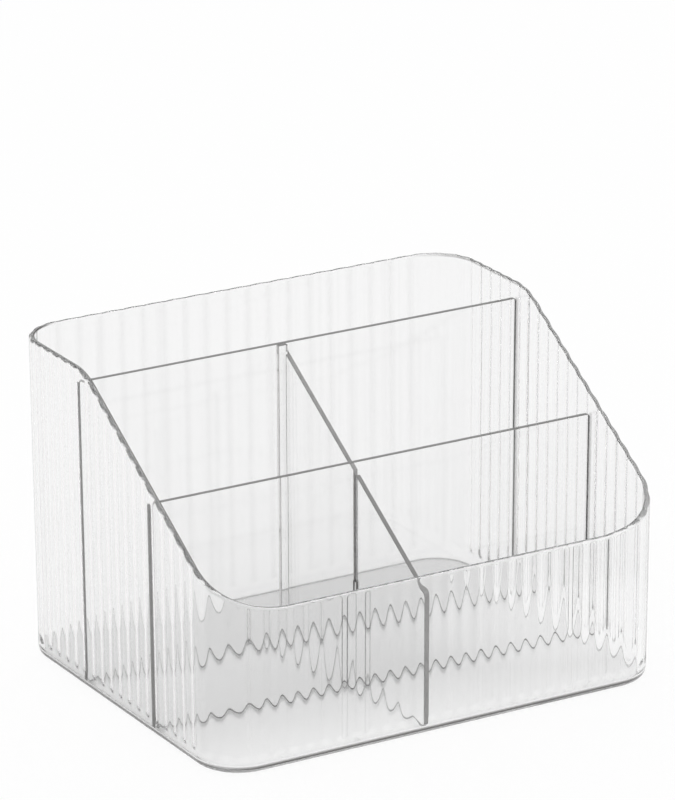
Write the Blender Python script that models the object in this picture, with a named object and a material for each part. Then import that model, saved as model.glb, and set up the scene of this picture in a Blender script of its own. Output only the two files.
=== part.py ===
"""Clear fluted organizer: a tub whose rim slopes down to the front, split into five bays by three plates.

Metres, +Z up. The front is at -Y, the origin is the middle of the part's footprint, on the table.
"""
import math
from collections import namedtuple

import bmesh
import bpy
from mathutils import Vector

# Tub, measured over the flute crests at the foot
TUB_WIDTH = 0.190
TUB_DEPTH = 0.1538
CORNER_RADIUS = 0.018
WALL = 0.0022
FLOOR = 0.0020
DRAFT = math.radians(0.5)
FOOT_RADIUS = 0.0037
FLOOR_FILLET = 0.0015
FILLET_STEPS = 3

# Rim: level at the rear, a rounded bend, a straight slope, then a blend round the front corners
REAR_RIM_HEIGHT = 0.1267
FRONT_RIM_HEIGHT = 0.0623
SLOPE_ANGLE = math.radians(31.9)
SLOPE_START_Y = 0.02135
BEND_RADIUS = 0.027
BLEND_START_ANGLE = math.radians(50)
BLEND_RUN_ON_FRONT = 0.0115

# Flutes, on the outside only
FRONT_FLUTES = 24
SIDE_FLUTES = 17
REAR_FLUTES = 17
CORNER_FLUTES = 4
FLUTE_DEPTH = 0.00055
FLUTE_SOFTNESS = 0.35
FLUTE_FOOT_HEIGHT = 0.0050
FLUTE_RUNOUT = 0.0030
STATIONS_PER_FLUTE = 6

# Dividers, placed from the tub's centre
PLATE = 0.0018
SEAT_GAP = 0.0003
CORNER_STEPS = 4
REAR_DIVIDER_Y = 0.0270
REAR_DIVIDER_HEIGHT = 0.1208
FRONT_DIVIDER_Y = -0.0256
FRONT_DIVIDER_HEIGHT = 0.0902
CROSS_CORNER_RADIUS = 0.0012
CENTRE_DIVIDER_X = -0.0080
CENTRE_DIVIDER_REAR_HEIGHT = 0.1186
CENTRE_NOSE_RADIUS = 0.0030
HALVING_HEIGHT = 0.0430
END_RIB_WIDTH = 0.0039
END_RIB_DEPTH = 0.0018
END_RIB_LAP = 0.0007

# The rear wall is taller than the front one, so its draft carries it further out
TUB_CENTRE_Y = (FRONT_RIM_HEIGHT - REAR_RIM_HEIGHT) * math.tan(DRAFT) / 2

CLEAR_COLOUR = (0.92, 0.94, 0.94, 1.0)
CLEAR_ROUGHNESS = 0.04
CLEAR_IOR = 1.49

Station = namedtuple("Station", "anchor normal phase")
Ring = namedtuple("Ring", "height offset fluting")


def clear_scene():
    for thing in list(bpy.data.objects):
        bpy.data.objects.remove(thing, do_unlink=True)


def clear_plastic(name):
    material = bpy.data.materials.new(name)
    material.use_nodes = True
    shader = material.node_tree.nodes["Principled BSDF"]
    shader.inputs["Base Color"].default_value = CLEAR_COLOUR
    shader.inputs["Roughness"].default_value = CLEAR_ROUGHNESS
    shader.inputs["Metallic"].default_value = 0.0
    shader.inputs["IOR"].default_value = CLEAR_IOR
    shader.inputs["Transmission Weight"].default_value = 1.0
    return material


def new_collection(name):
    collection = bpy.data.collections.new(name)
    bpy.context.scene.collection.children.link(collection)
    return collection


# Tub

def flute_section(phase):
    """A flute's profile from 0 in the valley to 1 on the crest: a rounded reed with a soft valley."""
    reed = math.sqrt(math.sin(math.pi * phase) ** 2 + FLUTE_SOFTNESS ** 2)
    crest = math.sqrt(1 + FLUTE_SOFTNESS ** 2)
    return (reed - FLUTE_SOFTNESS) / (crest - FLUTE_SOFTNESS)


def plan_stations():
    """Walk round the tub, wall then corner; a station lies CORNER_RADIUS out from its anchor."""
    reach_x = TUB_WIDTH / 2 - CORNER_RADIUS
    reach_y = TUB_DEPTH / 2 - CORNER_RADIUS
    pivots = [Vector(p) for p in ((-reach_x, -reach_y), (reach_x, -reach_y), (reach_x, reach_y), (-reach_x, reach_y))]
    stations = []
    for side, flutes in enumerate((FRONT_FLUTES, SIDE_FLUTES, REAR_FLUTES, SIDE_FLUTES)):
        start, end = pivots[side], pivots[(side + 1) % 4]
        facing = math.radians(90) * (side - 1)
        steps = flutes * STATIONS_PER_FLUTE
        for step in range(steps):
            normal = Vector((math.cos(facing), math.sin(facing)))
            stations.append(Station(start.lerp(end, step / steps), normal, step / STATIONS_PER_FLUTE))
        steps = CORNER_FLUTES * STATIONS_PER_FLUTE
        for step in range(steps):
            angle = facing + math.radians(90) * step / steps
            normal = Vector((math.cos(angle), math.sin(angle)))
            stations.append(Station(end, normal, step / STATIONS_PER_FLUTE))
    return stations


def side_profile(y):
    """The rim's height seen from the side: level, an arc, then the slope."""
    tangent = BEND_RADIUS * math.tan(SLOPE_ANGLE / 2)
    bend_y = SLOPE_START_Y + tangent
    if y >= bend_y:
        return REAR_RIM_HEIGHT
    if y <= SLOPE_START_Y - tangent * math.cos(SLOPE_ANGLE):
        return REAR_RIM_HEIGHT - (SLOPE_START_Y - y) * math.tan(SLOPE_ANGLE)
    return REAR_RIM_HEIGHT - BEND_RADIUS + math.sqrt(BEND_RADIUS ** 2 - (bend_y - y) ** 2)


def rim_height(station):
    """Follow the side profile, and blend from it to the level front rim past the front corners."""
    turned = math.atan2(-station.normal.y, abs(station.normal.x))
    outer_y = station.anchor.y + station.normal.y * CORNER_RADIUS
    if turned < BLEND_START_ANGLE:
        return side_profile(outer_y)
    corner_run = (math.radians(90) - BLEND_START_ANGLE) * CORNER_RADIUS
    past_corner = TUB_WIDTH / 2 - CORNER_RADIUS - abs(station.anchor.x)
    run = (turned - BLEND_START_ANGLE) * CORNER_RADIUS + past_corner
    length = corner_run + BLEND_RUN_ON_FRONT
    if run >= length:
        return FRONT_RIM_HEIGHT
    start_y = -TUB_DEPTH / 2 + CORNER_RADIUS * (1 - math.sin(BLEND_START_ANGLE))
    start = side_profile(start_y)
    fall = math.tan(SLOPE_ANGLE) * math.cos(BLEND_START_ANGLE) * length
    t = run / length
    rest = (1 - t) ** 2
    return FRONT_RIM_HEIGHT + (start - FRONT_RIM_HEIGHT) * rest * (1 + 2 * t) - fall * t * rest


def foot_arc():
    """The rounded bottom edge, as (height, inset) from the table up."""
    for step in range(FILLET_STEPS + 1):
        angle = math.radians(90) * step / FILLET_STEPS
        yield FOOT_RADIUS * (1 - math.cos(angle)), FOOT_RADIUS * (1 - math.sin(angle))


def floor_arc():
    """The fillet between inner wall and floor, as (height, inset) from the wall down."""
    for step in range(FILLET_STEPS + 1):
        angle = math.radians(90) * step / FILLET_STEPS
        yield FLOOR + FLOOR_FILLET * (1 - math.sin(angle)), FLOOR_FILLET * (1 - math.cos(angle))


def tub_rings():
    """The loft's sections, up the outside, over the rim and down the inside; None is the rim's height."""
    for height, inset in foot_arc():
        yield Ring(height, -inset, 0)
    yield Ring(FLUTE_FOOT_HEIGHT, 0, 0)
    yield Ring(FLUTE_FOOT_HEIGHT + FLUTE_RUNOUT, 0, 1)
    yield Ring(None, 0, 1)
    yield Ring(None, -WALL, 0)
    for height, inset in floor_arc():
        yield Ring(height, -WALL - inset, 0)


def tub_mesh(stations):
    """Loft the rings station by station, and close the foot and the floor."""
    shape = bmesh.new()
    loops = []
    for ring in tub_rings():
        loop = []
        for station in stations:
            height = rim_height(station) if ring.height is None else ring.height
            groove = ring.fluting * FLUTE_DEPTH * (1 - flute_section(station.phase))
            radius = CORNER_RADIUS + ring.offset + height * math.tan(DRAFT) - groove
            point = station.anchor + station.normal * radius
            loop.append(shape.verts.new((point.x, point.y + TUB_CENTRE_Y, height)))
        loops.append(loop)
    for lower, upper in zip(loops, loops[1:]):
        for i in range(len(stations)):
            j = (i + 1) % len(stations)
            shape.faces.new((lower[i], lower[j], upper[j], upper[i]))
    shape.faces.new(reversed(loops[0]))
    shape.faces.new(loops[-1])
    mesh = bpy.data.meshes.new("fluted_tub")
    shape.to_mesh(mesh)
    shape.free()
    return mesh


def fluted_tub(collection):
    mesh = tub_mesh(plan_stations())
    mesh.materials.append(clear_plastic("tub clear"))
    mesh.shade_smooth()
    mesh.set_sharp_from_angle(angle=math.radians(40))
    tub = bpy.data.objects.new("fluted_tub", mesh)
    collection.objects.link(tub)
    return tub


# Dividers

def inner_reach(half_size, height):
    """How far the drafted inner wall stands from the tub's centre at a height."""
    return half_size - WALL + height * math.tan(DRAFT)


def rounded(corner, before, after, radius):
    """Points of an arc of this radius in a corner of an outline, in the order of the outline."""
    to_before = (before - corner).normalized()
    to_after = (after - corner).normalized()
    half = to_before.angle(to_after) / 2
    centre = corner + (to_before + to_after).normalized() * radius / math.sin(half)
    first = corner + to_before * radius / math.tan(half) - centre
    last = corner + to_after * radius / math.tan(half) - centre
    points = []
    for step in range(CORNER_STEPS + 1):
        direction = first.normalized().slerp(last.normalized(), step / CORNER_STEPS)
        points.append(centre + direction * radius)
    return points


def plate(name, outline, material, collection):
    """A flat plate of PLATE thickness from an outline of Vectors, lying in its own XY plane."""
    curve = bpy.data.curves.new(name, "CURVE")
    curve.dimensions = "2D"
    curve.fill_mode = "BOTH"
    curve.extrude = PLATE / 2
    spline = curve.splines.new("POLY")
    spline.points.add(len(outline) - 1)
    for point, corner in zip(spline.points, outline):
        point.co = (corner.x, corner.y, 0, 1)
    spline.use_cyclic_u = True
    curve.materials.append(material)
    thing = bpy.data.objects.new(name, curve)
    collection.objects.link(thing)
    return thing


def cross_outline(height):
    """A cross divider seen from the front: its ends follow the draft and its foot clears the floor fillet."""
    foot = FLOOR + SEAT_GAP
    low = foot + FLOOR_FILLET
    top = Vector((inner_reach(TUB_WIDTH / 2, height) - SEAT_GAP, height))
    end = Vector((inner_reach(TUB_WIDTH / 2, low) - SEAT_GAP, low))
    heel = Vector((end.x - FLOOR_FILLET, foot))
    right = [heel, end] + rounded(top, end, Vector((0, height)), CROSS_CORNER_RADIUS)
    left = [Vector((-point.x, point.y)) for point in reversed(right)]
    return right, left


def rear_divider(collection):
    right, left = cross_outline(REAR_DIVIDER_HEIGHT)
    divider = plate("rear_divider", right + left, clear_plastic("rear divider clear"), collection)
    divider.location = (0, TUB_CENTRE_Y + REAR_DIVIDER_Y, 0)
    divider.rotation_euler = (math.radians(90), 0, 0)
    return divider


def front_divider(collection):
    """Slotted from its foot up, so that it drops over the centre divider and its top edge runs through."""
    right, left = cross_outline(FRONT_DIVIDER_HEIGHT)
    foot = FLOOR + SEAT_GAP
    half_slot = PLATE / 2 + SEAT_GAP
    slot_top = HALVING_HEIGHT + SEAT_GAP
    slot = [(-half_slot, foot), (-half_slot, slot_top), (half_slot, slot_top), (half_slot, foot)]
    slot = [Vector((CENTRE_DIVIDER_X + x, height)) for x, height in slot]
    divider = plate("front_divider", right + left + slot, clear_plastic("front divider clear"), collection)
    divider.location = (0, TUB_CENTRE_Y + FRONT_DIVIDER_Y, 0)
    divider.rotation_euler = (math.radians(90), 0, 0)
    return divider


def centre_top(y):
    """The centre divider's top edge, which runs parallel to the rim's slope."""
    return CENTRE_DIVIDER_REAR_HEIGHT - (REAR_DIVIDER_Y - y) * math.tan(SLOPE_ANGLE)


def centre_outline():
    """The centre divider seen from the right: front end on the drafted wall, slotted from its top down."""
    foot = FLOOR + SEAT_GAP
    low = foot + FLOOR_FILLET
    rear_y = REAR_DIVIDER_Y - PLATE / 2 - SEAT_GAP
    nose_height = centre_top(-inner_reach(TUB_DEPTH / 2, FRONT_RIM_HEIGHT))
    nose = Vector((-inner_reach(TUB_DEPTH / 2, nose_height) + SEAT_GAP, nose_height))
    end = Vector((-inner_reach(TUB_DEPTH / 2, low) + SEAT_GAP, low))
    rear_top = Vector((rear_y, centre_top(rear_y)))
    half_slot = PLATE / 2 + SEAT_GAP
    slot_rear, slot_front = FRONT_DIVIDER_Y + half_slot, FRONT_DIVIDER_Y - half_slot
    slot = [(slot_rear, centre_top(slot_rear)), (slot_rear, HALVING_HEIGHT),
            (slot_front, HALVING_HEIGHT), (slot_front, centre_top(slot_front))]
    slot = [Vector((y, height)) for y, height in slot]
    heel = Vector((end.x + FLOOR_FILLET, foot))
    nose_arc = rounded(nose, rear_top, end, CENTRE_NOSE_RADIUS)
    return [rear_top] + slot + nose_arc + [end, heel, Vector((rear_y, foot))]


def mesh_copy(thing, collection):
    """Replace a plate's curve by its closed mesh, so that it takes a Boolean."""
    bpy.context.view_layer.update()
    evaluated = thing.evaluated_get(bpy.context.evaluated_depsgraph_get())
    mesh = bpy.data.meshes.new_from_object(evaluated)
    shape = bmesh.new()
    shape.from_mesh(mesh)
    bmesh.ops.remove_doubles(shape, verts=shape.verts, dist=SEAT_GAP / 30)
    bmesh.ops.recalc_face_normals(shape, faces=shape.faces)
    shape.to_mesh(mesh)
    shape.free()
    name = thing.name
    place = thing.matrix_world.copy()
    bpy.data.objects.remove(thing, do_unlink=True)
    solid = bpy.data.objects.new(name, mesh)
    solid.matrix_world = place
    collection.objects.link(solid)
    return solid


def end_rib(collection):
    """The bar down the left of the centre divider's rear end, as high as the rear divider behind it."""
    foot = FLOOR + SEAT_GAP
    top = REAR_DIVIDER_HEIGHT
    right_x = CENTRE_DIVIDER_X - PLATE / 2 + END_RIB_LAP
    rear_y = REAR_DIVIDER_Y - PLATE / 2 - SEAT_GAP
    bpy.ops.mesh.primitive_cube_add(size=1)
    rib = bpy.context.object
    rib.name = "end_rib"
    rib.scale = (END_RIB_WIDTH, END_RIB_DEPTH, top - foot)
    rib.location = (right_x - END_RIB_WIDTH / 2, TUB_CENTRE_Y + rear_y - END_RIB_DEPTH / 2, (top + foot) / 2)
    for owner in list(rib.users_collection):
        owner.objects.unlink(rib)
    collection.objects.link(rib)
    rib.hide_render = True
    rib.display_type = "WIRE"
    return rib


def centre_divider(collection, cutters):
    material = clear_plastic("centre divider clear")
    flat = plate("centre_divider", centre_outline(), material, collection)
    flat.location = (CENTRE_DIVIDER_X, TUB_CENTRE_Y, 0)
    flat.rotation_euler = (math.radians(90), 0, math.radians(90))
    divider = mesh_copy(flat, collection)
    joining = divider.modifiers.new("end rib", "BOOLEAN")
    joining.operation = "UNION"
    joining.solver = "EXACT"
    joining.object = end_rib(cutters)
    return divider


def main():
    clear_scene()
    collection = new_collection("utensil_organizer")
    cutters = new_collection("cutters")
    fluted_tub(collection)
    rear_divider(collection)
    front_divider(collection)
    centre_divider(collection, cutters)


main()
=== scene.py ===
import math

import bmesh
import bpy
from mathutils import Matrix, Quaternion, Vector


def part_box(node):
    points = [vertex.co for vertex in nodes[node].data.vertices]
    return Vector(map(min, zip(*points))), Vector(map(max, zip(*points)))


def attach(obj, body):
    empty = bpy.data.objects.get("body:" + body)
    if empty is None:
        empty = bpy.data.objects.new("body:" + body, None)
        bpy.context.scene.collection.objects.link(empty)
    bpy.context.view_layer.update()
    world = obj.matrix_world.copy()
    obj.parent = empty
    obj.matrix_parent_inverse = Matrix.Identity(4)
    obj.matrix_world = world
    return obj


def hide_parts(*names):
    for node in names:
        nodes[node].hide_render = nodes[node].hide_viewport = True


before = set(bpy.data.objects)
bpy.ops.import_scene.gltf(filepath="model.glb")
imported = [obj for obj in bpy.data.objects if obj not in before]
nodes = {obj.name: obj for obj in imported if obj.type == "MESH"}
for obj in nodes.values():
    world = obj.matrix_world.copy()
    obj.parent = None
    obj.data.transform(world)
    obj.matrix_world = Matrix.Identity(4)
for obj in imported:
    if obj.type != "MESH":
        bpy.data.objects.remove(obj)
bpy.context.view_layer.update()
print("frame loaded:", ", ".join(sorted(nodes)))


# camera

view = {
    "turn": -30.3,  # degrees round the organizer, 0 is straight in front
    "rise": 19.54,
    "roll": -0.22,
    "distance": 2.0597,
    "target": (-0.0009, -0.0003, 0.1048),
    "sensor": 36,  # mm along the frame's long side
    "lens": 250.47,
    "clip": (0.05, 60),
}


def addCamera():
    turn, rise = math.radians(view["turn"]), math.radians(view["rise"])
    back = Vector((math.sin(turn) * math.cos(rise), -math.cos(turn) * math.cos(rise), math.sin(rise)))
    aim = (-back).to_track_quat("-Z", "Y")
    cameraData = bpy.data.cameras.new("camera")
    cameraData.sensor_width = view["sensor"]
    cameraData.lens = view["lens"]
    cameraData.clip_start, cameraData.clip_end = view["clip"]
    camera = bpy.data.objects.new("camera", cameraData)
    camera.location = Vector(view["target"]) + back * view["distance"]
    camera.rotation_mode = "QUATERNION"
    camera.rotation_quaternion = aim @ Quaternion((0, 0, 1), math.radians(view["roll"]))
    bpy.context.scene.collection.objects.link(camera)
    bpy.context.scene.camera = camera


# small helpers

def newNode(tree, kind, place, **sockets):
    node = tree.nodes.new(kind)
    node.location = place
    for name, value in sockets.items():
        node.inputs[name].default_value = value
    return node


def addMath(tree, operation, place, *values):
    # each value is a number or a socket
    node = newNode(tree, "ShaderNodeMath", place)
    node.operation = operation
    for socket, value in zip(node.inputs, values):
        if isinstance(value, float):
            socket.default_value = value
        else:
            tree.links.new(value, socket)
    return node.outputs[0]


def addRange(tree, source, place, sourceRange, resultRange, kind="LINEAR"):
    node = newNode(tree, "ShaderNodeMapRange", place)
    node.interpolation_type = kind
    node.inputs["From Min"].default_value, node.inputs["From Max"].default_value = sourceRange
    node.inputs["To Min"].default_value, node.inputs["To Max"].default_value = resultRange
    tree.links.new(source, node.inputs["Value"])
    return node.outputs[0]


def mixShaders(tree, share, first, second, place):
    mix = newNode(tree, "ShaderNodeMixShader", place)
    tree.links.new(share, mix.inputs[0])
    tree.links.new(first.outputs[0], mix.inputs[1])
    tree.links.new(second.outputs[0], mix.inputs[2])
    return mix.outputs[0]


def seenDirectly(tree, place):
    # 1 for rays from the camera, a mirror or clear plastic, 0 for the light on a matt surface
    path = newNode(tree, "ShaderNodeLightPath", place)
    camera = path.outputs["Is Camera Ray"]
    glossy = addMath(tree, "MAXIMUM", (place[0] + 180, place[1]), camera, path.outputs["Is Glossy Ray"])
    seen = addMath(tree, "MAXIMUM", (place[0] + 360, place[1]), glossy, path.outputs["Is Transmission Ray"])
    return seen, camera


def emptyMaterial(name):
    material = bpy.data.materials.new(name)
    material.use_nodes = True
    material.node_tree.nodes.clear()
    return material, material.node_tree


def addPiece(mesh, name, material, sharpAngle):
    data = bpy.data.meshes.new(name)
    mesh.to_mesh(data)
    mesh.free()
    data.materials.append(material)
    data.shade_smooth()
    data.set_sharp_from_angle(angle=math.radians(sharpAngle))
    piece = bpy.data.objects.new(name, data)
    bpy.context.scene.collection.objects.link(piece)
    return piece


# stage: white surroundings, pale floor, two soft lamps

stage = {
    "surroundings": 0.95,  # light that falls on matt surfaces
    "roomFront": 1.0,  # what mirrors and clear plastic show of the room in front of the organizer
    "roomBehind": 0.5,  # and behind it
    "roomChange": 0.35,  # how far to each side the change between them reaches, as Y of the direction
    "floorRadius": 5.0,
    "floorSides": 96,
    "floorDrop": 0.0002,  # below the organizer's foot
    "floorSharpAngle": 35,
    "floorColour": (0.93, 0.93, 0.93, 1),
    "floorWhite": 0.90,  # share of pure white that the camera sees, the rest is lit and shadowed
    # painted light on the floor, seen by mirrors and clear plastic: a share of pure white, full up to the
    # first value, gone at the second
    "paintedLightFront": (-0.0777, -0.0227, 0.8),  # along Y, at the front foot
    "paintedLightRight": (0.02, 0.085, 0.7),  # by the distance from a spot at the right
    "paintedLightSpot": (0.105, -0.01, 0),
    "lamps": (
        # name, place, size, watts
        ("overhead", (0.15, 0.25, 1.7), 1.5, 1.6),
        ("window", (-1.5, -0.9, 1.3), 1.2, 1.2),
    ),
    "bounces": 160,  # light runs far inside the clear walls before it comes out
}


def addWorld():
    world = bpy.data.worlds.new("surroundings")
    bpy.context.scene.world = world
    world.use_nodes = True
    tree = world.node_tree
    tree.nodes.clear()
    seen, camera = seenDirectly(tree, (-900, 200))
    coords = newNode(tree, "ShaderNodeTexCoord", (-1100, -200))
    parts = newNode(tree, "ShaderNodeSeparateXYZ", (-900, -200))
    tree.links.new(coords.outputs["Generated"], parts.inputs[0])
    change = (-stage["roomChange"], stage["roomChange"])
    room = addRange(tree, parts.outputs["Y"], (-700, -200), change, (stage["roomFront"], stage["roomBehind"]))
    bright = addMath(tree, "MAXIMUM", (-500, -200), room, camera)
    lit = newNode(tree, "ShaderNodeBackground", (-300, 0), Color=(1, 1, 1, 1), Strength=stage["surroundings"])
    shown = newNode(tree, "ShaderNodeBackground", (-300, -150), Color=(1, 1, 1, 1))
    tree.links.new(bright, shown.inputs["Strength"])
    out = newNode(tree, "ShaderNodeOutputWorld", (200, 100))
    tree.links.new(mixShaders(tree, seen, lit, shown, (0, 100)), out.inputs[0])


def addFade(tree, source, place, fade):
    full, gone, share = fade
    return addRange(tree, source, place, (full, gone), (share, 0), "SMOOTHSTEP")


def addFloor():
    material, tree = emptyMaterial("paleFloor")
    seen, camera = seenDirectly(tree, (-1400, 0))
    coords = newNode(tree, "ShaderNodeTexCoord", (-1400, 500))
    parts = newNode(tree, "ShaderNodeSeparateXYZ", (-1200, 400))
    away = newNode(tree, "ShaderNodeVectorMath", (-1200, 700))
    away.operation = "DISTANCE"
    away.inputs[1].default_value = stage["paintedLightSpot"]
    tree.links.new(coords.outputs["Object"], parts.inputs[0])
    tree.links.new(coords.outputs["Object"], away.inputs[0])
    # painted light: the floor is whiter in front of the foot and round a spot at the right
    front = addFade(tree, parts.outputs["Y"], (-1000, 400), stage["paintedLightFront"])
    right = addFade(tree, away.outputs["Value"], (-1000, 700), stage["paintedLightRight"])
    lightest = addMath(tree, "MAXIMUM", (-800, 500), front, right)
    through = addMath(tree, "MULTIPLY", (-600, 300), lightest, seen)
    straight = addMath(tree, "MULTIPLY", (-600, 100), camera, stage["floorWhite"])
    share = addMath(tree, "MAXIMUM", (-400, 200), straight, through)
    matt = newNode(tree, "ShaderNodeBsdfDiffuse", (-400, 0), Color=stage["floorColour"])
    white = newNode(tree, "ShaderNodeEmission", (-400, -150), Color=(1, 1, 1, 1), Strength=1.0)
    out = newNode(tree, "ShaderNodeOutputMaterial", (100, 100))
    tree.links.new(mixShaders(tree, share, matt, white, (-100, 100)), out.inputs[0])
    mesh = bmesh.new()
    bmesh.ops.create_circle(mesh, cap_ends=True, segments=stage["floorSides"], radius=stage["floorRadius"])
    bmesh.ops.translate(mesh, verts=mesh.verts, vec=(0, 0, -stage["floorDrop"]))
    floor = addPiece(mesh, "floor", material, stage["floorSharpAngle"])


def addLamps():
    for name, place, size, watts in stage["lamps"]:
        lampData = bpy.data.lights.new(name, "AREA")
        lampData.shape = "DISK"
        lampData.size = size
        lampData.energy = watts
        lamp = bpy.data.objects.new(name, lampData)
        lamp.location = place
        lamp.rotation_euler = (-Vector(place)).to_track_quat("-Z", "Y").to_euler()
        bpy.context.scene.collection.objects.link(lamp)


# clear plastic

plastic = {
    "colour": (0.992, 0.992, 0.992, 1),  # what one wall lets through
    # the matt dark colour of painted shade and of the bond joints
    "shadeAndJointColour": (0.055, 0.050, 0.046, 1),
    "ior": 1.49,
    "depthColour": (0.82, 0.82, 0.82, 1),  # what stays after a long way inside
    "waveHeight": 0.00001,  # moulding leaves a slow wave in the surface, longer upwards
    "waveScale": 60.0,
    "waveDetail": 2.0,
    "waveStretch": (1, 1, 0.35),
    "patchScale": 28.0,  # handling dulls it in soft patches
    "patchDetail": 5.0,
    "patchRoughness": 0.6,
    "patchRange": (0.4, 0.75),
    "roughness": 0.015,
    "patchDull": (0.6, 2.5),  # times the roughness, between the patches and in them
}


def clearPlastic(name, smoke):
    material, tree = emptyMaterial(name)
    out = newNode(tree, "ShaderNodeOutputMaterial", (600, 0))
    shader = newNode(tree, "ShaderNodeBsdfPrincipled", (300, 0), Metallic=0, IOR=plastic["ior"])
    shader.inputs["Base Color"].default_value = plastic["colour"]
    shader.inputs["Transmission Weight"].default_value = 1
    depth = newNode(tree, "ShaderNodeVolumeAbsorption", (300, -400), Color=plastic["depthColour"],
                    Density=smoke)
    coords = newNode(tree, "ShaderNodeTexCoord", (-900, 0))

    # the wave
    stretch = newNode(tree, "ShaderNodeMapping", (-700, -200), Scale=plastic["waveStretch"])
    wave = newNode(tree, "ShaderNodeTexNoise", (-500, -200), Scale=plastic["waveScale"],
                   Detail=plastic["waveDetail"])
    bump = newNode(tree, "ShaderNodeBump", (0, -200), Strength=1.0, Distance=plastic["waveHeight"])
    tree.links.new(coords.outputs["Object"], stretch.inputs[0])
    tree.links.new(stretch.outputs[0], wave.inputs["Vector"])
    tree.links.new(wave.outputs["Fac"], bump.inputs["Height"])
    tree.links.new(bump.outputs[0], shader.inputs["Normal"])

    # the dull patches
    patches = newNode(tree, "ShaderNodeTexNoise", (-500, 100), Scale=plastic["patchScale"],
                      Detail=plastic["patchDetail"], Roughness=plastic["patchRoughness"])
    dull = [plastic["roughness"] * times for times in plastic["patchDull"]]
    dulled = addRange(tree, patches.outputs["Fac"], (-200, 100), plastic["patchRange"], dull)
    tree.links.new(coords.outputs["Object"], patches.inputs["Vector"])
    tree.links.new(dulled, shader.inputs["Roughness"])

    # painted light and shade, and dark joints: a matt dark colour mixed in by a share that the meshes carry;
    # it is painted shade on the edges, rim, foot and rear grooves, painted light on the right rim, and joint
    # lines at the bonds
    matt = newNode(tree, "ShaderNodeAttribute", (-500, 400))
    matt.attribute_name = "shadeLightAndJointShare"
    clear = addMath(tree, "SUBTRACT", (-200, 300), 1.0, matt.outputs["Fac"])
    shadeAndJointMix = newNode(tree, "ShaderNodeMix", (-200, 500))
    shadeAndJointMix.data_type = "RGBA"
    shadeAndJointMix.inputs[6].default_value = plastic["colour"]  # the node's sockets 6, 7 and 2 are the colour ones
    shadeAndJointMix.inputs[7].default_value = plastic["shadeAndJointColour"]
    tree.links.new(matt.outputs["Fac"], shadeAndJointMix.inputs[0])
    tree.links.new(clear, shader.inputs["Transmission Weight"])
    tree.links.new(shadeAndJointMix.outputs[2], shader.inputs["Base Color"])

    tree.links.new(shader.outputs[0], out.inputs["Surface"])
    tree.links.new(depth.outputs[0], out.inputs["Volume"])
    return material


# fluted tub

tub = {
    "width": 0.190,  # over the flutes, at the foot
    "depth": 0.1538,
    "cornerRadius": 0.018,
    "wall": 0.0022,
    "floor": 0.0020,
    "draft": 0.5,
    "footRadius": 0.0037,
    "floorFillet": 0.0015,
    "rearRim": 0.1267,
    "frontRim": 0.0623,
    "rimInside": 0.0003,  # rounding of the rim's inner and outer edge
    "rimOutside": 0.0011,
    "slope": 31.9,
    "slopeStart": 0.02135,
    "bendRadius": 0.027,
    "blendStart": 50,  # degrees round the front corner where the slope starts to level
    "blendRun": 0.0115,
    "flutes": {"front": 24, "side": 17, "rear": 17, "corner": 4},
    "fluteDepth": 0.00042,
    "fluteSoftness": 0.7,
    "fluteFoot": 0.0050,
    "fluteRunout": 0.0030,
    "stepsPerFlute": 12,
    "steps": {"foot": 8, "runout": 8, "rimOutside": 8, "rimInside": 4, "fillet": 6},
    # how far beside a rounding the next ring of points lies, which keeps its shading clean
    "beside": {"flat": 0.0003, "runout": 0.0004, "rim": 0.0005, "bond": 0.0003, "fillet": 0.0004},
    "sharpAngle": 50,
    "smoke": 10.0,  # how fast light fades along the wall
}

# painted shade and light on the tub, and its dark bond joints: matt shares and where they lie
tubShadeLightAndJoints = {
    "facing": 0.99,  # straight enough to count as one wall
    "grooveShade": 0.07,  # painted shade in the grooves of the rear wall
    "rimShadeLeft": 0.95,  # painted shade on the inner edge of the rim, on the left and fading round the corners
    "rimLightRight": 0.5,  # painted light on its outer rounding, on the right: half matt grey, so it reads lighter
    "bondLeftShaded": 0.85,  # dark joint lines where the cross dividers are bonded in, darker on the left by painted shade
    "bondRight": 0.3,
    "bondReach": 0.0010,
    "bondForward": 0.0007,
    "bondAbove": 0.0001,
    "foot": 0.4,  # painted shadow where the foot meets the floor
    "footShadowHeights": (0.00005, 0.0005),
    "footShadeLine": 1.0,  # painted shade: a dark line low on the foot's rounding, in front and on the left
    "footShadeReach": 0.0005,
    "footShadeFade": 0.0001,
}

draftRise = math.tan(math.radians(tub["draft"]))
slopeRise = math.tan(math.radians(tub["slope"]))
tubCentreY = (tub["frontRim"] - tub["rearRim"]) * draftRise / 2
bonded = [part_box("rear_divider"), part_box("front_divider")]
reachX = tub["width"] / 2 - tub["cornerRadius"]
reachY = tub["depth"] / 2 - tub["cornerRadius"]


def fluteShape(phase):
    # 0 in the valley, 1 on the crest: a rounded reed with a soft valley
    soft = tub["fluteSoftness"]
    reed = math.sqrt(math.sin(math.pi * phase) ** 2 + soft ** 2)
    return (reed - soft) / (math.sqrt(1 + soft ** 2) - soft)


def sideRim(y):
    # seen from the side: level, a rounded bend, the slope
    radius = tub["bendRadius"]
    tangent = radius * math.tan(math.radians(tub["slope"]) / 2)
    bendY = tub["slopeStart"] + tangent
    if y >= bendY:
        return tub["rearRim"]
    if y <= tub["slopeStart"] - tangent * math.cos(math.radians(tub["slope"])):
        return tub["rearRim"] - (tub["slopeStart"] - y) * slopeRise
    return tub["rearRim"] - radius + math.sqrt(radius ** 2 - (bendY - y) ** 2)


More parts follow.
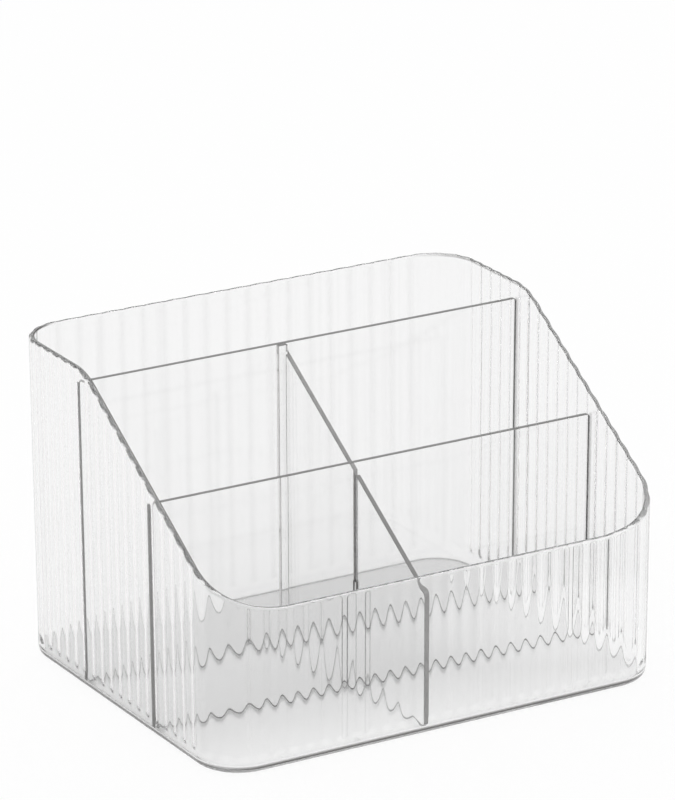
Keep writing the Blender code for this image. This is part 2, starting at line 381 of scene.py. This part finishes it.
def rimHeight(anchor, outward):
    # the slope eases into the level front rim round the front corners
    corner = tub["cornerRadius"]
    blendStart = math.radians(tub["blendStart"])
    turned = math.atan2(-outward.y, abs(outward.x))
    if turned < blendStart:
        return sideRim(anchor.y + outward.y * corner)
    run = (turned - blendStart) * corner + reachX - abs(anchor.x)
    length = (math.pi / 2 - blendStart) * corner + tub["blendRun"]
    if run >= length:
        return tub["frontRim"]
    start = sideRim(-tub["depth"] / 2 + corner * (1 - math.sin(blendStart)))
    fall = slopeRise * math.cos(blendStart) * length
    t = run / length
    rest = (1 - t) ** 2
    return tub["frontRim"] + (start - tub["frontRim"]) * rest * (1 + 2 * t) - fall * t * rest


def flutePhase(anchor, outward):
    # counted in flutes from the start of each wall or corner
    flutes = tub["flutes"]
    straight = 0.001
    if abs(outward.x) > straight and abs(outward.y) > straight:
        turned = math.atan2(abs(outward.y), abs(outward.x))
        return turned / (math.pi / 2) * flutes["corner"]
    if abs(outward.x) > straight:
        return (anchor.y / reachY + 1) / 2 * flutes["side"]
    count = flutes["front"] if outward.y < 0 else flutes["rear"]
    return (anchor.x / reachX + 1) / 2 * count


def tubSection(mesh):
    # a rounded rectangle with enough points along each wall and corner for its flutes
    steps, flutes = tub["stepsPerFlute"], tub["flutes"]
    bmesh.ops.create_grid(mesh, x_segments=1, y_segments=1, size=0.5)
    bmesh.ops.scale(mesh, vec=(tub["width"], tub["depth"], 1), verts=mesh.verts)
    bmesh.ops.bevel(mesh, geom=mesh.verts[:], offset=tub["cornerRadius"], offset_type="OFFSET",
                    segments=flutes["corner"] * steps, profile=0.5, affect="VERTICES", material=-1)
    walls = sorted(mesh.edges, key=lambda edge: edge.calc_length())[-4:]
    for wall in walls:
        middle = (wall.verts[0].co + wall.verts[1].co) / 2
        if abs(middle.x) > abs(middle.y):
            count = flutes["side"]
        else:
            count = flutes["front"] if middle.y < 0 else flutes["rear"]
        bmesh.ops.subdivide_edges(mesh, edges=[wall], cuts=count * steps - 1)


def quarterTurn(steps):
    for step in range(steps + 1):
        angle = math.pi / 2 * step / steps
        yield math.sin(angle), math.cos(angle)


def ringList():
    # up the outside, over the rim and down the inside
    # each ring: height, whether it counts down from the rim, offset, fluting
    steps, beside = tub["steps"], tub["beside"]
    foot, floor, fillet = tub["footRadius"], tub["floor"], tub["floorFillet"]
    wall, inside, outside = tub["wall"], tub["rimInside"], tub["rimOutside"]
    start, runout = tub["fluteFoot"], tub["fluteRunout"]
    rings = [(0, False, -foot - beside["flat"], 0)]
    for sine, cosine in quarterTurn(steps["foot"]):
        rings.append((foot * (1 - cosine), False, -foot * (1 - sine), 0))
    rings.append((start - beside["runout"], False, 0, 0))
    for step in range(steps["runout"] + 1):
        share = step / steps["runout"]
        rings.append((start + runout * share, False, 0, share * share * (3 - 2 * share)))
    rings.append((start + runout + beside["runout"], False, 0, 1))
    rings.append((outside + beside["rim"], True, 0, 1))
    for sine, cosine in quarterTurn(steps["rimOutside"]):
        rings.append((outside * (1 - sine), True, -outside * (1 - cosine), 1))
    for sine, cosine in quarterTurn(steps["rimInside"]):
        rings.append((inside * (1 - cosine), True, -wall + inside * (1 - sine), 0))
    rings.append((inside + beside["rim"], True, -wall, 0))
    for drop in sorted(sideRim((low[1] + high[1]) / 2) - high[2] for low, high in bonded):
        rings.append((drop - beside["bond"], True, -wall, 0))
        rings.append((drop, True, -wall, 0))
    rings.append((floor + fillet + beside["fillet"], False, -wall, 0))
    for sine, cosine in quarterTurn(steps["fillet"]):
        rings.append((floor + fillet * (1 - sine), False, -wall - fillet * (1 - cosine), 0))
    rings.append((floor, False, -wall - fillet - beside["flat"], 0))
    return rings


def tubShadeLightAndJointShare(point, outward, ring):
    # painted shadow at the foot and painted shade in the line above it, painted shade on the rim's inner edge
    # and painted light on its outer one, painted shade in the grooves at the back, dark bond joints on the
    # side walls
    height, fromRim, offset, fluting = ring
    footLow, footHigh = tubShadeLightAndJoints["footShadowHeights"]
    # painted shadow where the foot meets the floor
    if footLow < point.z < footHigh:
        return tubShadeLightAndJoints["foot"] * min(1, 2 - 2 * point.z / footHigh)
    if not fromRim and -tubShadeLightAndJoints["footShadeReach"] < offset < 0:
        fade = min(1, -offset / tubShadeLightAndJoints["footShadeFade"])
        return tubShadeLightAndJoints["footShadeLine"] * fade * max(0, -outward.x, -outward.y)
    inner = offset <= tub["rimInside"] - tub["wall"]
    if fromRim and inner and height <= tub["rimInside"]:
        return tubShadeLightAndJoints["rimShadeLeft"] * min(1, max(0, -2 * outward.x))
    if fromRim and not inner and height <= tub["rimOutside"]:
        return tubShadeLightAndJoints["rimLightRight"] * max(0, outward.x)
    if outward.y > tubShadeLightAndJoints["facing"]:
        return tubShadeLightAndJoints["grooveShade"] * fluting * (1 - outward.z) ** 3
    if abs(outward.x) > tubShadeLightAndJoints["facing"] and offset == -tub["wall"]:
        for low, high in bonded:
            middle = (low[1] + high[1]) / 2 - tubShadeLightAndJoints["bondForward"]
            near = abs(point.y - middle) < tubShadeLightAndJoints["bondReach"]
            if near and point.z < high[2] + tubShadeLightAndJoints["bondAbove"]:
                return tubShadeLightAndJoints["bondLeftShaded" if point.x < 0 else "bondRight"]
    return 0


def buildTub():
    mesh = bmesh.new()
    tubSection(mesh)
    anchors = mesh.verts.layers.float_vector.new("anchor")
    outwards = mesh.verts.layers.float_vector.new("outward")
    # the share of painted shade and light, and of bond joints, on each point
    matt = mesh.verts.layers.float.new("shadeLightAndJointShare")
    for vert in mesh.verts:
        anchor = Vector((max(-reachX, min(reachX, vert.co.x)), max(-reachY, min(reachY, vert.co.y)), 0))
        outward = (vert.co - anchor).normalized()
        # the third numbers carry the rim's height and the place across the flute
        vert[anchors] = (anchor.x, anchor.y, rimHeight(anchor, outward))
        vert[outwards] = (outward.x, outward.y, fluteShape(flutePhase(anchor, outward)))

    def placeRing(verts, ring):
        height, fromRim, offset, fluting = ring
        for vert in verts:
            anchor, outward = vert[anchors], vert[outwards]
            z = anchor.z - height if fromRim else height
            groove = fluting * tub["fluteDepth"] * (1 - outward.z)
            radius = tub["cornerRadius"] + offset + z * draftRise - groove
            vert.co = (anchor.x + outward.x * radius, anchor.y + outward.y * radius + tubCentreY, z)
            vert[matt] = tubShadeLightAndJointShare(vert.co, outward, ring)

    rings = ringList()
    placeRing(mesh.verts, rings[0])
    edges = mesh.edges[:]
    for ring in rings[1:]:
        grown = bmesh.ops.extrude_edge_only(mesh, edges=edges)["geom"]
        placeRing([item for item in grown if isinstance(item, bmesh.types.BMVert)], ring)
        edges = [item for item in grown if isinstance(item, bmesh.types.BMEdge)]
        edges = [edge for edge in edges if edge.is_boundary]
    bmesh.ops.edgeloop_fill(mesh, edges=edges)
    bmesh.ops.recalc_face_normals(mesh, faces=mesh.faces)
    piece = addPiece(mesh, "flutedTub", clearPlastic("tubPlastic", tub["smoke"]), tub["sharpAngle"])
    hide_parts("fluted_tub")
    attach(piece, "root")
    print("fluted tub:", len(piece.data.polygons), "faces")


# dividers

dividers = {
    "rear_divider": "rearDivider",
    "front_divider": "frontDivider",
    "centre_divider": "centreDivider",
}
dividerEdge = {
    "mergeWithin": 0.00001,
    "flatWithin": 1,  # degrees, faces that meet flatter than this are made one again
    "sharpFrom": 40,  # degrees, edges that get broken
    "rounding": 0.00018,
    "steps": 2,
    "sharpAngle": 10,
    "smoke": 45.0,
    # painted shade on the plates' edges, by a matt share on each kind of edge
    "shadeTop": 0.72,  # painted shade, as a matt share, on the top edges
    "shadeFoot": 0.38,
    "shadeFootRear": 0.15,
    "shadeEnd": 0.97,  # and on the upright ones against the walls
    "shadeNose": 0.78,
    "shadeBar": 0.4,
    "shadeCorner": 0.85,  # and on the broken corners
    "shadeWidest": 0.0025,  # wider faces are clear
    "cornerWidest": 0.0003,
    "facing": {"foot": -0.5, "bar": 0.9, "corner": 0.3, "top": 0.5},
}


def edgePart(node, normal, wide):
    # which painted shade an edge face takes
    facing = dividerEdge["facing"]
    if normal.z < facing["foot"]:
        return "shadeFootRear" if node == "rear_divider" else "shadeFoot"
    if node == "centre_divider" and abs(normal.x) > facing["bar"]:
        return "shadeBar"
    if normal.z > facing["corner"] and wide < dividerEdge["cornerWidest"]:
        return "shadeCorner"
    if normal.z > facing["top"]:
        return "shadeTop"
    return "shadeNose" if node == "centre_divider" else "shadeEnd"


def buildDivider(node, name):
    # the plate as the frame has it, with its flat faces whole again and its edges broken
    flat, sharp = math.radians(dividerEdge["flatWithin"]), math.radians(dividerEdge["sharpFrom"])
    mesh = bmesh.new()
    mesh.from_mesh(nodes[node].data)
    bmesh.ops.remove_doubles(mesh, verts=mesh.verts, dist=dividerEdge["mergeWithin"])
    bmesh.ops.dissolve_limit(mesh, angle_limit=flat, verts=mesh.verts, edges=mesh.edges)
    edges = [edge for edge in mesh.edges if edge.calc_face_angle(0) > sharp]
    bmesh.ops.bevel(mesh, geom=edges, offset=dividerEdge["rounding"], offset_type="OFFSET",
                    segments=dividerEdge["steps"], profile=0.5, affect="EDGES", material=-1)
    mesh.normal_update()
    # painted shade on the narrow edge faces
    matt = mesh.faces.layers.float.new("shadeLightAndJointShare")
    for face in mesh.faces:
        wide = face.calc_area() / max(edge.calc_length() for edge in face.edges)
        if wide < dividerEdge["shadeWidest"]:
            face[matt] = dividerEdge[edgePart(node, face.normal, wide)]
    material = clearPlastic(name + "Plastic", dividerEdge["smoke"])
    piece = addPiece(mesh, name, material, dividerEdge["sharpAngle"])
    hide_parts(node)
    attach(piece, "root")
    print(name + ":", len(piece.data.polygons), "faces")


addCamera()
addWorld()
addFloor()
addLamps()
print("camera, floor and lamps in place")
buildTub()
for node, name in dividers.items():
    buildDivider(node, name)

cycles = bpy.context.scene.cycles
cycles.max_bounces = stage["bounces"]
cycles.transmission_bounces = stage["bounces"]
cycles.glossy_bounces = stage["bounces"]
cycles.blur_glossy = 0  # no softening of clear plastic, which would darken the floor under it
bpy.context.scene.view_settings.view_transform = "Standard"
